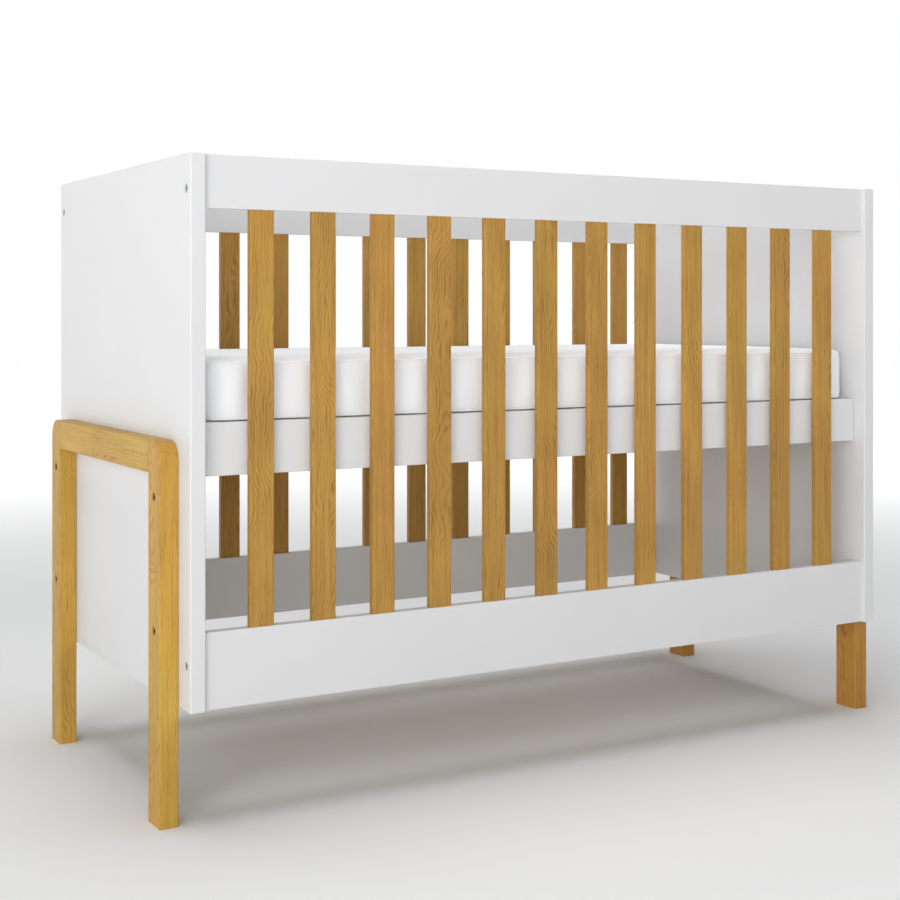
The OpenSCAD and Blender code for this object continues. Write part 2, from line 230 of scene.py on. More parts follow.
@dataclass(frozen=True)
class Finish:
    """What every finish has: a name, and dress(), which puts it on pieces."""

    name: str

    def build(self, tree: bpy.types.NodeTree, shader: bpy.types.Node) -> None:
        """Adds the finish's nodes.

        Args:
            tree: the material's node tree.
            shader: its Principled shader.
        """
        raise NotImplementedError

    def material(self) -> bpy.types.Material:
        """Makes the finish's material once, and returns it."""
        found = bpy.data.materials.get(self.name)
        if found:
            return found
        made = bpy.data.materials.new(self.name)
        made.use_nodes = True
        self.build(made.node_tree, made.node_tree.nodes["Principled BSDF"])
        return made

    def dress(self, *pieces: bpy.types.Object) -> None:
        """Puts the finish on every material slot of the pieces."""
        for piece in pieces:
            piece.data.materials.clear()
            piece.data.materials.append(self.material())


@dataclass(frozen=True)
class Lacquer(Finish):
    """White polyurethane lacquer sprayed on MDF.

    The eye sees an even, slightly cool white with a satin sheen, and in a low light the fine
    orange peel of the sprayed coat. The peel is about 1 mm across, and drawn at 3 mm to show.
    """

    colour: str = "#E1E1E2"
    cloud: str = "#DCDCDD"
    peel_mm: float = 3.0
    cloud_mm: float = 180.0
    roughness: float = 0.42

    def build(self, tree: bpy.types.NodeTree, shader: bpy.types.Node) -> None:
        """Adds clouds in the white, the peel's bump and a thin clear coat."""
        place = add_node(tree, "TexCoord").outputs["Object"]
        clouds = add_node(
            tree, "TexNoise", {"Vector": place, "Scale": 1 / (self.cloud_mm * MM), "Detail": 3.0}
        ).outputs["Fac"]
        colour = add_node(
            tree,
            "Mix",
            {"Factor": clouds, 6: linear(self.colour), 7: linear(self.cloud)},
            data_type="RGBA",
        ).outputs[2]
        peel = add_node(
            tree, "TexNoise", {"Vector": place, "Scale": 1 / (self.peel_mm * MM), "Detail": 1.0}
        ).outputs["Fac"]
        bump = add_node(tree, "Bump", {"Height": peel, "Strength": 0.06, "Distance": 0.3 * MM})
        gloss = add_node(
            tree,
            "MapRange",
            {"Value": clouds, "To Min": self.roughness - 0.05, "To Max": self.roughness + 0.06},
        ).outputs[0]
        tree.links.new(colour, shader.inputs["Base Color"])
        tree.links.new(gloss, shader.inputs["Roughness"])
        tree.links.new(bump.outputs[0], shader.inputs["Normal"])
        shader.inputs["Coat Weight"].default_value = 0.08
        shader.inputs["Coat Roughness"].default_value = 0.3


WHITE_LACQUER = Lacquer("White polyurethane lacquer on MDF")


@dataclass(frozen=True)
class Wood(Finish):
    """Planed solid wood under a satin varnish.

    Growth rings lie round a pith beside the board, so a face shows lines or arches. Stain gathers
    in the open early wood, which starts sharply and fades out. Pores are short dashes along the
    grain, and fibres fine streaks. Pores are 0.3 mm wide, and drawn wider to show.
    """

    boards: Boards
    light: str = "#BA8D43"
    dark: str = "#94672A"
    pore: str = "#7C4E1E"
    ring_mm: float = 2.7
    pore_mm: float = 1.2
    pore_length_mm: float = 18.0
    fibre_mm: float = 1.6
    fibre_length_mm: float = 90.0
    pith_spread: tuple[float, float] = (0.06, 0.03)
    most_tilt: float = 0.03
    ring_depth: float = 0.68
    pore_depth: float = 0.5
    pore_span: tuple[float, float] = (0.53, 0.68)
    fibre_span: tuple[float, float] = (0.3, 0.7)
    fibre_tone: tuple[float, float] = (-0.3, 0.36)
    hue_span: tuple[float, float] = (0.498, 0.504)
    tone_spread: float = 0.1
    roughness: float = 0.46
    coat: float = 0.06
    coat_roughness: float = 0.32
    gloss: float = 0.25

    def build(self, tree: bpy.types.NodeTree, shader: bpy.types.Node) -> None:
        """Adds the rings, pores, fibres and the tone of each board."""
        place = add_node(tree, "TexCoord").outputs["Object"]
        middle, chance = self.board_of(tree, place)
        local = add_node(
            tree, "VectorMath", {0: place, 1: middle}, operation="SUBTRACT"
        ).outputs[0]
        local = add_node(
            tree, "Mapping", {"Vector": local, "Rotation": self.boards.grain.value}
        ).outputs[0]
        shift = add_node(
            tree, "VectorMath", {0: chance, 1: (7.0, 5.0, 9.0)}, operation="MULTIPLY"
        ).outputs[0]
        spot = add_node(tree, "VectorMath", {0: local, 1: shift}, operation="ADD").outputs[0]
        ring = self.rings(tree, local, spot, chance)
        pores = self.streaks(tree, spot, self.pore_mm, self.pore_length_mm, 2.0)
        pores = add_node(
            tree,
            "MapRange",
            {"Value": pores, "From Min": self.pore_span[0], "From Max": self.pore_span[1]},
        ).outputs[0]
        in_early = add_node(
            tree, "MapRange", {"Value": ring, "From Min": 0.0, "From Max": 0.7, "To Min": 0.25}
        ).outputs[0]
        pores = add_node(tree, "Math", {0: pores, 1: in_early}, operation="MULTIPLY").outputs[0]
        fibre = self.streaks(tree, spot, self.fibre_mm, self.fibre_length_mm, 3.0)
        colour = self.colours(tree, ring, pores, fibre, spot, chance)
        rough = add_node(
            tree,
            "MapRange",
            {"Value": pores, "To Min": self.roughness, "To Max": self.roughness + 0.2},
        ).outputs[0]
        relief = add_node(tree, "Math", {0: ring, 1: pores}, operation="ADD").outputs[0]
        bump = add_node(
            tree,
            "Bump",
            {"Height": relief, "Strength": 0.25, "Distance": 0.15 * MM},
            invert=True,
        ).outputs[0]
        tree.links.new(colour, shader.inputs["Base Color"])
        tree.links.new(rough, shader.inputs["Roughness"])
        tree.links.new(bump, shader.inputs["Normal"])
        shader.inputs["Specular IOR Level"].default_value = self.gloss
        shader.inputs["Coat Weight"].default_value = self.coat
        shader.inputs["Coat Roughness"].default_value = self.coat_roughness

    def board_of(
        self, tree: bpy.types.NodeTree, place: bpy.types.NodeSocket
    ) -> tuple[bpy.types.NodeSocket, bpy.types.NodeSocket]:
        """Finds the middle of the board that a point is on, and three chance numbers for it.

        Args:
            tree: the material's node tree.
            place: the point in the object's coordinates.

        Returns:
            The board's middle, and its chance numbers from 0 to 1, as vectors.
        """
        cell, start = self.boards.cell, self.boards.start
        moved = add_node(
            tree, "VectorMath", {0: place, 1: tuple(-s for s in start)}, operation="ADD"
        ).outputs[0]
        corner = add_node(tree, "VectorMath", {0: moved, 1: cell}, operation="SNAP").outputs[0]
        to_middle = tuple(s + c / 2 for s, c in zip(start, cell))
        middle = add_node(
            tree, "VectorMath", {0: corner, 1: to_middle}, operation="ADD"
        ).outputs[0]
        chance = add_node(
            tree, "TexWhiteNoise", {"Vector": middle}, noise_dimensions="3D"
        ).outputs["Color"]
        return middle, chance

    def rings(
        self,
        tree: bpy.types.NodeTree,
        local: bpy.types.NodeSocket,
        spot: bpy.types.NodeSocket,
        chance: bpy.types.NodeSocket,
    ) -> bpy.types.NodeSocket:
        """Adds growth rings: how dark a point is, from 0 in late wood to 1 where a ring starts.

        A ring's number is the distance from the pith, plus a slow wander and a slope along the
        grain, over the ring's width. Its fraction rises sharply from 0, then fades. Some
        stretches of a ring are fainter than others.

        Args:
            tree: the material's node tree.
            local: the point from its board's middle, with the grain along Z.
            spot: the same point moved to the board's own stretch of noise.
            chance: the board's chance numbers.

        Returns:
            The ring's darkness.
        """
        nearest = [p - s / 2 for p, s in zip(self.boards.pith, self.pith_spread)]
        pith = add_node(
            tree,
            "VectorMath",
            {0: chance, 1: (*self.pith_spread, 0.0), 2: (*nearest, 0.0)},
            operation="MULTIPLY_ADD",
        ).outputs[0]
        away = add_node(tree, "VectorMath", {0: local, 1: pith}, operation="SUBTRACT").outputs[0]
        flat = add_node(
            tree, "VectorMath", {0: away, 1: (1.0, 1.0, 0.0)}, operation="MULTIPLY"
        ).outputs[0]
        radius = add_node(tree, "VectorMath", {0: flat}, operation="LENGTH").outputs["Value"]
        wander = self.wave(tree, spot, Drift.WANDER)
        ripple = self.wave(tree, spot, Drift.RIPPLE)
        along = add_node(tree, "SeparateXYZ", {0: local}).outputs["Z"]
        tilt = add_node(tree, "SeparateXYZ", {0: chance}).outputs["Z"]
        tilt = add_node(
            tree,
            "MapRange",
            {"Value": tilt, "To Min": -self.most_tilt, "To Max": self.most_tilt},
        ).outputs[0]
        total = add_node(
            tree, "Math", {0: along, 1: tilt, 2: radius}, operation="MULTIPLY_ADD"
        ).outputs[0]
        for part in (wander, ripple):
            total = add_node(tree, "Math", {0: total, 1: part}, operation="ADD").outputs[0]
        number = add_node(
            tree, "Math", {0: total, 1: 1 / (self.ring_mm * MM)}, operation="MULTIPLY"
        ).outputs[0]
        share = add_node(tree, "Math", {0: number}, operation="FRACT").outputs[0]
        rise = smooth_step(tree, share, RING_RISE)
        fall = smooth_step(tree, share, RING_FALL, (1.0, 0.0))
        line = add_node(tree, "Math", {0: rise, 1: fall}, operation="MULTIPLY").outputs[0]
        faint = self.wave(tree, spot, Drift.FAINT)
        faint = add_node(
            tree, "MapRange", {"Value": faint, "From Min": -0.35, "From Max": 0.35, "To Min": 0.25}
        ).outputs[0]
        return add_node(tree, "Math", {0: line, 1: faint}, operation="MULTIPLY").outputs[0]

    def wave(
        self,
        tree: bpy.types.NodeTree,
        spot: bpy.types.NodeSocket,
        drift: Drift,
    ) -> bpy.types.NodeSocket:
        """Adds smooth noise about zero.

        Args:
            tree: the material's node tree.
            spot: the point.
            drift: which noise.

        Returns:
            The noise's value.
        """
        stretch, size = drift.value
        scaled = add_node(
            tree, "VectorMath", {0: spot, 1: stretch}, operation="MULTIPLY"
        ).outputs[0]
        noise = add_node(
            tree, "TexNoise", {"Vector": scaled, "Scale": 1.0, "Detail": 1.0}
        ).outputs["Fac"]
        return add_node(
            tree, "MapRange", {"Value": noise, "To Min": -size, "To Max": size}
        ).outputs[0]

    def streaks(
        self,
        tree: bpy.types.NodeTree,
        spot: bpy.types.NodeSocket,
        width_mm: float,
        length_mm: float,
        detail: float,
    ) -> bpy.types.NodeSocket:
        """Adds noise drawn out along the grain, from 0 to 1.

        Args:
            tree: the material's node tree.
            spot: the point, with the grain along Z.
            width_mm: width of a streak.
            length_mm: length of a streak.
            detail: how many finer layers the noise has.

        Returns:
            The noise's value.
        """
        stretch = (1 / (width_mm * MM), 1 / (width_mm * MM), 1 / (length_mm * MM))
        scaled = add_node(
            tree, "VectorMath", {0: spot, 1: stretch}, operation="MULTIPLY"
        ).outputs[0]
        return add_node(
            tree, "TexNoise", {"Vector": scaled, "Scale": 0.5, "Detail": detail}
        ).outputs["Fac"]

    def colours(
        self,
        tree: bpy.types.NodeTree,
        ring: bpy.types.NodeSocket,
        pores: bpy.types.NodeSocket,
        fibre: bpy.types.NodeSocket,
        spot: bpy.types.NodeSocket,
        chance: bpy.types.NodeSocket,
    ) -> bpy.types.NodeSocket:
        """Mixes the wood's colours: late wood, early wood, pores, then fibres and board tone.

        Args:
            tree: the material's node tree.
            ring: darkness of the rings.
            pores: strength of the pores.
            fibre: the fine streaks.
            spot: the point.
            chance: the board's chance numbers.

        Returns:
            The colour.
        """
        streak = add_node(
            tree,
            "MapRange",
            {
                "Value": fibre,
                "From Min": self.fibre_span[0],
                "From Max": self.fibre_span[1],
                "To Min": self.fibre_tone[0],
                "To Max": self.fibre_tone[1],
            },
        ).outputs[0]
        amount = add_node(
            tree,
            "Math",
            {0: ring, 1: self.ring_depth, 2: streak},
            operation="MULTIPLY_ADD",
            use_clamp=True,
        ).outputs[0]
        body = add_node(
            tree,
            "Mix",
            {"Factor": amount, 6: linear(self.light), 7: linear(self.dark)},
            data_type="RGBA",
        ).outputs[2]
        holes = add_node(
            tree, "Math", {0: pores, 1: self.pore_depth}, operation="MULTIPLY"
        ).outputs[0]
        body = add_node(
            tree, "Mix", {"Factor": holes, 6: body, 7: linear(self.pore)}, data_type="RGBA"
        ).outputs[2]
        patch = self.wave(tree, spot, Drift.PATCH)
        tone = add_node(tree, "SeparateXYZ", {0: chance}).outputs["X"]
        half = self.tone_spread / 2
        tone = add_node(
            tree, "MapRange", {"Value": tone, "To Min": 1 - half, "To Max": 1 + half}
        ).outputs[0]
        value = add_node(tree, "Math", {0: tone, 1: patch}, operation="ADD").outputs[0]
        hue = add_node(tree, "SeparateXYZ", {0: chance}).outputs["Y"]
        hue = add_node(
            tree,
            "MapRange",
            {"Value": hue, "To Min": self.hue_span[0], "To Max": self.hue_span[1]},
        ).outputs[0]
        redder = self.wave(tree, spot, Drift.REDDER)
        hue = add_node(tree, "Math", {0: hue, 1: redder}, operation="ADD").outputs[0]
        return add_node(
            tree, "HueSaturation", {"Color": body, "Value": value, "Hue": hue}
        ).outputs[0]


@dataclass(frozen=True)
class PlatedSteel(Finish):
    """Thin plating on turned steel: bright zinc, or, with darker colours, a dark brown that paints
    the shade of the counterbore round each leg bolt's head.

    The eye sees metal with blurred highlights, faint turning lines and a few duller patches where
    the plating is thinner.
    """

    colour: str = "#C9CBCF"
    dull: str = "#A9ABB0"
    patch_mm: float = 4.0
    line_mm: float = 0.5

    def build(self, tree: bpy.types.NodeTree, shader: bpy.types.Node) -> None:
        """Adds patches of thinner plating and turning lines round each rod."""
        place = add_node(tree, "TexCoord").outputs["Object"]
        patch = add_node(
            tree, "TexNoise", {"Vector": place, "Scale": 1 / (self.patch_mm * MM), "Detail": 4.0}
        ).outputs["Fac"]
        colour = add_node(
            tree,
            "Mix",
            {"Factor": patch, 6: linear(self.colour), 7: linear(self.dull)},
            data_type="RGBA",
        ).outputs[2]
        rough = add_node(
            tree, "MapRange", {"Value": patch, "To Min": 0.22, "To Max": 0.42}
        ).outputs[0]
        lines = add_node(
            tree, "TexNoise", {"Vector": place, "Scale": 1 / (self.line_mm * MM), "Detail": 1.0}
        ).outputs["Fac"]
        bump = add_node(
            tree, "Bump", {"Height": lines, "Strength": 0.15, "Distance": 0.05 * MM}
        ).outputs[0]
        tree.links.new(colour, shader.inputs["Base Color"])
        tree.links.new(rough, shader.inputs["Roughness"])
        tree.links.new(bump, shader.inputs["Normal"])
        shader.inputs["Metallic"].default_value = 1.0


@dataclass(frozen=True)
class CoverCloth(Finish):
    """Plain-woven white cotton and polyester, as on a mattress cover.

    The eye sees a soft matt white with a faint sheen at its edges and a fine even weave. The
    threads are 0.5 mm apart, and drawn at 2.4 mm to show.
    """

    colour: str = "#F6F9FC"
    shade: str = "#EEF1F5"
    thread_mm: float = 2.4
    relief_mm: float = 0.12

    def build(self, tree: bpy.types.NodeTree, shader: bpy.types.Node) -> None:
        """Adds threads in three directions, of which each face of the piece shows two."""
        place = add_node(tree, "TexCoord").outputs["Object"]
        turn = add_node(
            tree,
            "VectorMath",
            {0: place, 1: (math.tau / (self.thread_mm * MM),) * 3},
            operation="MULTIPLY",
        ).outputs[0]
        threads = [
            add_node(tree, "Math", {0: along}, operation="SINE").outputs[0]
            for along in add_node(tree, "SeparateXYZ", {0: turn}).outputs
        ]
        pairs = [
            add_node(tree, "Math", {0: one, 1: other}, operation="MULTIPLY").outputs[0]
            for one, other in zip(threads, threads[-1:] + threads[:-1])
        ]
        weave = add_node(tree, "Math", {0: pairs[0], 1: pairs[1]}, operation="ADD").outputs[0]
        weave = add_node(tree, "Math", {0: weave, 1: pairs[2]}, operation="ADD").outputs[0]
        slub = add_node(
            tree, "TexNoise", {"Vector": place, "Scale": 1 / (35 * MM), "Detail": 4.0}
        ).outputs["Fac"]
        depth = add_node(
            tree, "MapRange", {"Value": weave, "From Min": -1.0, "To Min": 0.5, "To Max": 0.0}
        ).outputs[0]
        amount = add_node(tree, "Math", {0: depth, 1: slub}, operation="MULTIPLY").outputs[0]
        colour = add_node(
            tree,
            "Mix",
            {"Factor": amount, 6: linear(self.colour), 7: linear(self.shade)},
            data_type="RGBA",
        ).outputs[2]
        bump = add_node(
            tree,
            "Bump",
            {"Height": weave, "Strength": 0.12, "Distance": self.relief_mm * MM},
        ).outputs[0]
        tree.links.new(colour, shader.inputs["Base Color"])
        tree.links.new(bump, shader.inputs["Normal"])
        shader.inputs["Roughness"].default_value = 0.85
        shader.inputs["Sheen Weight"].default_value = 0.12
        shader.inputs["Sheen Roughness"].default_value = 0.5


@dataclass(frozen=True)
class StudioPaint(Finish):
    """Matt pale paint on the studio floor, with a barely visible roller texture.

    Away from the crib it glows, as a floor does that lamps outside the picture light.
    """

    colour: str = "#FAFBFC"
    glow: float = 0.84
    glow_from: float = 1.0
    glow_to: float = 5.5

    def build(self, tree: bpy.types.NodeTree, shader: bpy.types.Node) -> None:
        """Adds a faint roller texture to one flat pale colour, and the far glow."""
        place = add_node(tree, "TexCoord").outputs["Object"]
        roller = add_node(tree, "TexNoise", {"Vector": place, "Scale": 400.0}).outputs["Fac"]
        bump = add_node(tree, "Bump", {"Height": roller, "Strength": 0.02, "Distance": 0.2 * MM})
        shader.inputs["Base Color"].default_value = linear(self.colour)
        shader.inputs["Roughness"].default_value = 0.9
        shader.inputs["Specular IOR Level"].default_value = 0.1
        shader.inputs["Emission Color"].default_value = linear("#FFFFFF")
        tree.links.new(bump.outputs[0], shader.inputs["Normal"])
        away = add_node(tree, "VectorMath", {0: place}, operation="LENGTH").outputs["Value"]
        glow = smooth_step(tree, away, (self.glow_from, self.glow_to), (0.0, self.glow))
        tree.links.new(glow, shader.inputs["Emission Strength"])


# ---------- the crib's CAD pieces ----------


def nodes_named(*starts: str) -> list[bpy.types.Object]:
    """Finds the CAD nodes whose names begin with one of the given words, in name order."""
    return [node for name, node in sorted(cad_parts.items()) if name.startswith(starts)]


def middle_of(name: str) -> Vector:
    """Middle of a CAD node's box."""
    low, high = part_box(name)
    return (low + high) / 2


@dataclass
class SubAssembly:
    """A group of pieces that is made and dressed together."""

    name: str
    pieces: list[bpy.types.Object] = field(default_factory=list)

    def make(self) -> None:
        """Builds and dresses the pieces."""
        raise NotImplementedError

    def dress(self, finish: Finish, *starts: str) -> None:
        """Dresses the CAD nodes whose names begin with one of the given words."""
        found = nodes_named(*starts)
        finish.dress(*found)
        self.pieces += found


@dataclass
class EndPanels(SubAssembly):
    """The two solid ends."""

    name: str = "end panels"

    def make(self) -> None:
        """Dresses both end panels."""
        self.dress(WHITE_LACQUER, "end_panel")


@dataclass
class LongSides(SubAssembly):
    """Both long sides: two rails each, with upright oak slats between them."""

    name: str = "long sides"

    def slat_boards(self) -> Boards:
        """One cell for each slat of both sides."""
        first, second = middle_of("front_slat_01"), middle_of("front_slat_02")
        cell = (second.x - first.x, 2 * abs(first.y), WHOLE)
        return Boards(cell, (0.0, 0.0, -WHOLE / 2))

    def make(self) -> None:
        """Dresses the rails and the slats."""
        self.dress(WHITE_LACQUER, "front_top", "front_bottom", "back_top", "back_bottom")
        oak = Wood("Honey-stained oak, upright boards", self.slat_boards())
        self.dress(oak, "front_slat", "back_slat")


@dataclass
class LegFrames(SubAssembly):
    """The two oak leg frames outside the ends."""

    name: str = "leg frames"
    pith: tuple[float, float] = (0.06, 0.03)
    bar_cell_z: float = -1.453

    def make(self) -> None:
        """Dresses the legs with upright grain and the crossbars with level grain, each side in its
        own copy of the oak: lighter on the left and darker on the right, as painted light and
        shade.
        """
        leg = middle_of("leg_front_right")
        upright = Boards(
            (2 * leg.x, 2 * abs(leg.y), WHOLE), (0.0, 0.0, -WHOLE / 2), pith=self.pith
        )
        level = Boards(
            (2 * leg.x, WHOLE, WHOLE), (0.0, -WHOLE / 2, self.bar_cell_z), Grain.ALONG_Y, self.pith
        )
        # Painted light and shade: the left frame's oak gets lighter colours and the right frame's
        # darker ones, for how the light falls on each side.
        lit_and_shaded_tones = {
            "left": {"light": "#C79D43", "dark": "#AA7F34", "pore": "#8C6126"},
            "right": {"light": "#BA883A", "dark": "#98672A", "pore": "#77491B"},
        }
        for side, tone in lit_and_shaded_tones.items():
            legs_in_painted_light_and_shade = Wood(f"Honey-stained oak, {side} legs", upright, **tone)
            self.dress(legs_in_painted_light_and_shade, f"leg_front_{side}", f"leg_back_{side}")
            bar = Wood(f"Honey-stained oak, {side} crossbar", level, **tone)
            self.dress(bar, f"crossbar_{side}")


@dataclass
class Hardware(SubAssembly):
    """Bolts, inserts, nuts, screws and dowels."""

    name: str = "hardware"
    dowel_cell: float = 0.05

    def make(self) -> None:
        """Dresses the metal fasteners and the dowels."""
        metal = ("rail_bolts", "barrel_nuts", "threaded", "base_bolts", "base_slat_s")
        self.dress(PlatedSteel("Bright zinc-plated steel"), *metal)
        # Painted shade: the leg bolts' dark brown stands in for the shade of the counterbore round
        # each head.
        self.dress(PlatedSteel("Darkened steel with painted counterbore shade", "#6E5A42", "#4C3C2B"), "leg_bolts")
        beech = Wood(
            "Fluted beech dowel rod",
            Boards((self.dowel_cell,) * 3),
            light="#DDB88A",
            dark="#C99F70",
            pore="#A67C50",
            ring_mm=1.5,
            coat=0.0,
            roughness=0.6,
        )
        self.dress(beech, "rail_dowels", "leg_frame_dowels", "base_dowels")


@dataclass
class MattressBase(SubAssembly):
    """The base that bolts in at three heights."""

    name: str = "mattress base"
    cell_z: float = -1.4
    ledger_cell: float = 0.5
    slat_count: int = 7

    def make(self) -> None:
        """Dresses the lacquered rails, and the pine strips and slats."""
        self.dress(WHITE_LACQUER, "base_side_rail", "base_end_rail")
        pine = {
            "light": "#E8CB97",
            "dark": "#CFA566",
            "pore": "#B98B50",
            "ring_mm": 5.0,
            "pore_depth": 0.2,
            "coat": 0.0,
            "roughness": 0.6,
        }
        first, second = middle_of("base_slat_1"), middle_of("base_slat_2")
        pitch = second.x - first.x
        across = Boards(
            (pitch, WHOLE, WHOLE), (-pitch / 2, -WHOLE / 2, self.cell_z), Grain.ALONG_Y
        )
        slats = [f"base_slat_{number}" for number in range(1, self.slat_count + 1)]
        self.dress(Wood("Planed pine, base slats", across, **pine), *slats)
        along = Boards(
            (WHOLE, self.ledger_cell, WHOLE), (-WHOLE / 2, 0.0, self.cell_z), Grain.ALONG_X
        )
        self.dress(Wood("Planed pine, strips", along, **pine), "base_ledger")


# ---------- the mattress ----------


@dataclass
class Mattress(SubAssembly):
    """A foam mattress in a sewn white cover with piping along its two seams.

    The cover starts as a box of square cells with round upright corners. Air pressure in a cloth
    simulation crowns its top and rounds its sides, and then slack in the cloth is laid in soft
    upright folds. The piping follows the seam as the simulation left it.
    """

    name: str = "mattress"
    cell: float = 0.010
    corner_r: float = 0.020
    swell_room: float = 0.003
    most_swell: float = 0.004
    edge_round: float = 0.003
    low_edge_round: float = 0.002
    layers: int = 9
    piping_r: float = 0.0013
    piping_sides: int = 10
    fold_gap: float = 0.045
    fold_depth: float = 0.003
    fold_widths: tuple[float, float] = (0.009, 0.015)
    most_lean: float = 0.12
    frames: int = 20
    pressure: float = 4.0
    seed: int = 11
    cloth: CoverCloth = CoverCloth("White cotton cover cloth")

    def make(self) -> None:
        """Builds the cover and its piping, and puts them on the mattress's body."""
        low, high = (np.array(corner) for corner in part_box("mattress"))
        cover, seams = self.box_mesh(low, high)
        self.simulate(cover)
        self.fold_sides(cover, low, high)
        self.smooth(cover)
        tubes = [
            self.piping(f"mattress_piping_{where}", points_of(cover)[row])
            for where, row in seams.items()
        ]
        self.pieces = [cover, *tubes]
        self.cloth.dress(*self.pieces)
        for piece in self.pieces:
            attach(piece, "mattress")
        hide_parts("mattress")

    def box_mesh(
        self, low: np.ndarray, high: np.ndarray
    ) -> tuple[bpy.types.Object, dict[str, np.ndarray]]:
        """Builds the cover as a closed box of square cells with round upright corners.

        The box's points are those of a regular lattice that lie on its outside. In each corner
        square of the plan, (a, b) from 0 to 1 goes to (a sqrt(1 - b^2/2), b sqrt(1 - a^2/2)),
        which turns the square's outer edges into a quarter circle. The two rims are tucked in a
        little, and this rounds the edges.

        Args:
            low: lowest corner of the CAD mattress.
            high: its highest corner.

        Returns:
            The cover, and for each seam the numbers of its points in order round the cover.
        """
        half = (high - low) / 2 - np.array([self.swell_room, self.swell_room, 0.0])
        middle = (high + low) / 2
        counts = np.maximum(np.round(2 * half / self.cell).astype(int), 4)
        counts[2] = self.layers
        nx, ny, nz = counts
        number = np.full((nx + 1, ny + 1, nz + 1), -1)
        i, j, k = np.indices(number.shape)
        outside = (i % nx == 0) | (j % ny == 0) | (k % nz == 0)
        number[outside] = np.arange(outside.sum())
        share = np.stack([i[outside] / nx, j[outside] / ny, k[outside] / nz], axis=1)
        place = (2 * share - 1) * half
        inner = half[:2] - self.corner_r
        over = np.clip(np.abs(place[:, :2]) - inner, 0, None) / self.corner_r
        bent = over * np.sqrt(1 - over[:, ::-1] ** 2 / 2)
        base = np.minimum(np.abs(place[:, :2]), inner)
        reach = base + bent * self.corner_r
        rims = ((k == 0) | (k == nz)) & ((i % nx == 0) | (j % ny == 0))
        round_by = np.where(k == 0, self.low_edge_round, self.edge_round)
        tuck = np.where(rims, round_by, 0.0)[outside][:, None]
        reach = reach * (1 - tuck / np.linalg.norm(reach, axis=1, keepdims=True))
        place[:, :2] = np.sign(place[:, :2]) * reach
        place[:, 2:] -= np.sign(place[:, 2:]) * tuck

        def sheet(plane: np.ndarray, flip: bool) -> np.ndarray:
            """Quads of one side of the box, from its two-way table of point numbers."""
            quads = np.stack(
                [plane[:-1, :-1], plane[1:, :-1], plane[1:, 1:], plane[:-1, 1:]], axis=-1
            ).reshape(-1, 4)
            return quads[:, ::-1] if flip else quads

        faces = np.concatenate([
            sheet(number[:, :, nz], False),
            sheet(number[:, :, 0], True),
            sheet(number[:, 0, :], False),
            sheet(number[:, ny, :], True),
            sheet(number[0, :, :], True),
            sheet(number[nx, :, :], False),
        ])
        cover = new_mesh("mattress_cover", place + middle, faces)
        return cover, {"top": self.rim(number[:, :, nz]), "bottom": self.rim(number[:, :, 0])}

    @staticmethod
    def rim(plane: np.ndarray) -> np.ndarray:
        """Point numbers round the edge of a two-way table, in order."""
        return np.concatenate([plane[:-1, 0], plane[-1, :-1], plane[:0:-1, -1], plane[0, :0:-1]])

    def simulate(self, cover: bpy.types.Object) -> None:
        """Blows the cover up a little with a cloth simulation, and limits how far it swells.

        Args:
            cover: the cover. Its bottom and its seams are held, as foam and stitching hold them.
        """
        rest = points_of(cover)
        low, high = rest[:, 2].min(), rest[:, 2].max()
        held = cover.vertex_groups.new(name="held")
        tucked = 1.5 * self.edge_round
        held.add(np.flatnonzero(rest[:, 2] < low + tucked).tolist(), 1.0, "REPLACE")
        edge = self.edge_distance(rest)
        seam = (rest[:, 2] > high - tucked) & (edge < tucked)
        held.add(np.flatnonzero(seam).tolist(), 0.8, "REPLACE")
        cloth = cover.modifiers.new("cloth", "CLOTH")
        settings = cloth.settings
        settings.quality = 5
        settings.mass = 0.3
        settings.use_pressure = True
        settings.uniform_pressure_force = self.pressure
        settings.tension_stiffness = settings.compression_stiffness = 20.0
        settings.bending_stiffness = 1.0
        settings.vertex_group_mass = "held"
        settings.effector_weights.gravity = 0.0
        cloth.point_cache.frame_start, cloth.point_cache.frame_end = 1, self.frames
        scene = bpy.context.scene
        for step in range(1, self.frames + 1):
            scene.frame_set(step)
        graph = bpy.context.evaluated_depsgraph_get()
        blown = np.empty(rest.size)
        cover.evaluated_get(graph).data.vertices.foreach_get("co", blown)
        cover.modifiers.remove(cloth)
        cover.vertex_groups.remove(held)
        scene.frame_set(1)
        moved = blown.reshape(-1, 3) - rest
        length = np.linalg.norm(moved, axis=1, keepdims=True) + 1e-9
        limited = self.most_swell * np.tanh(length / self.most_swell)
        set_points(cover, rest + moved / length * limited)
        log.info("mattress_cover swells by %.1f mm at most", 1000 * length.max())

    @staticmethod
    def edge_distance(points: np.ndarray) -> np.ndarray:
        """Distance in plan from each point to the nearest straight side of the outline."""
        reach = np.abs(points[:, :2]).max(axis=0)
        return (reach - np.abs(points[:, :2])).min(axis=1)

